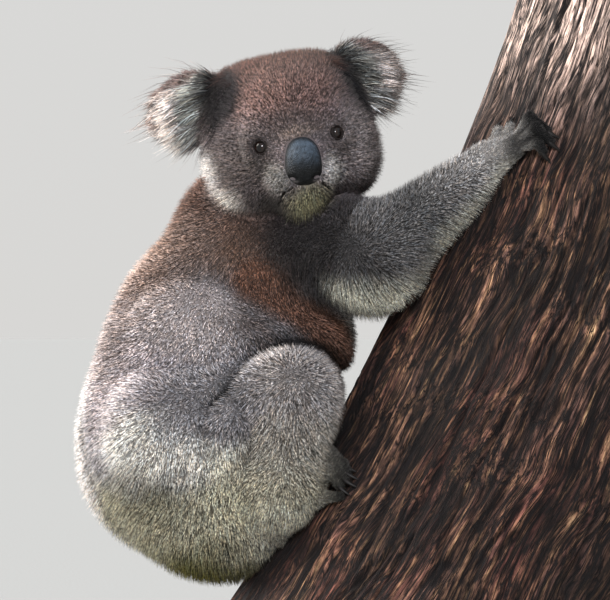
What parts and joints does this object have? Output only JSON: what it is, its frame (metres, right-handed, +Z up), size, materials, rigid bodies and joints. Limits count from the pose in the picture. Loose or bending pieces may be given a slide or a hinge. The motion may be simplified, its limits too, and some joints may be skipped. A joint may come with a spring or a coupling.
{
  "type": "koala model clinging to a cut length of tree trunk",
  "caption": "Life-size still koala climbing a leaning cut length of gum tree trunk, looking over its right shoulder, on a plain display stand.",
  "frame": {"origin": "middle of the underside of the stand's base board", "axes": "+Z up, +X the way the trunk leans, -Y the way the koala looks, over its right shoulder"},
  "size_m": [0.7248, 0.3457, 0.652],
  "materials": {
    "coat_grey": "dense woolly fur, silver grey ticked with dark tips, matte",
    "coat_brown": "dense woolly fur, russet brown, matte",
    "coat_pale": "longer cream fur, matte",
    "coat_head": "short fur, russet crown to grey-brown face, matte",
    "coat_ear": "long loose fringe, cream grey, soft",
    "nose": "bare pebbled skin, slate grey, slightly moist",
    "eye": "dark brown eye, wet gloss",
    "claw": "dark horn, satin",
    "bark": "stringy fissured bark, dark reddish brown, matte",
    "stand_board": "painted board, warm off-white, satin",
    "stand_rod": "brushed steel, satin"
  },
  "bodies": {
    "root": {"head": "coat_head", "nose": "nose", "eye_right": "eye", "eye_left": "eye", "ear_right": "coat_ear", "ear_left": "coat_ear", "neck": "coat_brown", "torso": "coat_grey", "upper_arm_right": "coat_grey", "forearm_right": "coat_grey", "hand_right": "coat_grey", "thigh_right": "coat_grey", "shank_right": "coat_pale", "foot_right": "coat_grey", "upper_arm_left": "coat_grey", "forearm_left": "coat_grey", "hand_left": "coat_grey", "thigh_left": "coat_grey", "shank_left": "coat_pale", "foot_left": "coat_grey", "claw_finger_right_1": "claw", "claw_finger_right_2": "claw", "claw_finger_right_3": "claw", "claw_finger_right_4": "claw", "claw_finger_right_5": "claw", "claw_toe_right_1": "claw", "claw_toe_right_2": "claw", "claw_toe_right_3": "claw", "claw_toe_right_4": "claw", "claw_finger_left_1": "claw", "claw_finger_left_2": "claw", "claw_finger_left_3": "claw", "claw_finger_left_4": "claw", "claw_finger_left_5": "claw", "claw_toe_left_1": "claw", "claw_toe_left_2": "claw", "claw_toe_left_3": "claw", "claw_toe_left_4": "claw", "perch_trunk": "bark", "stand_base": "stand_board", "stand_rod_1": "stand_rod", "stand_rod_2": "stand_rod"}
  },
  "joints": []
}
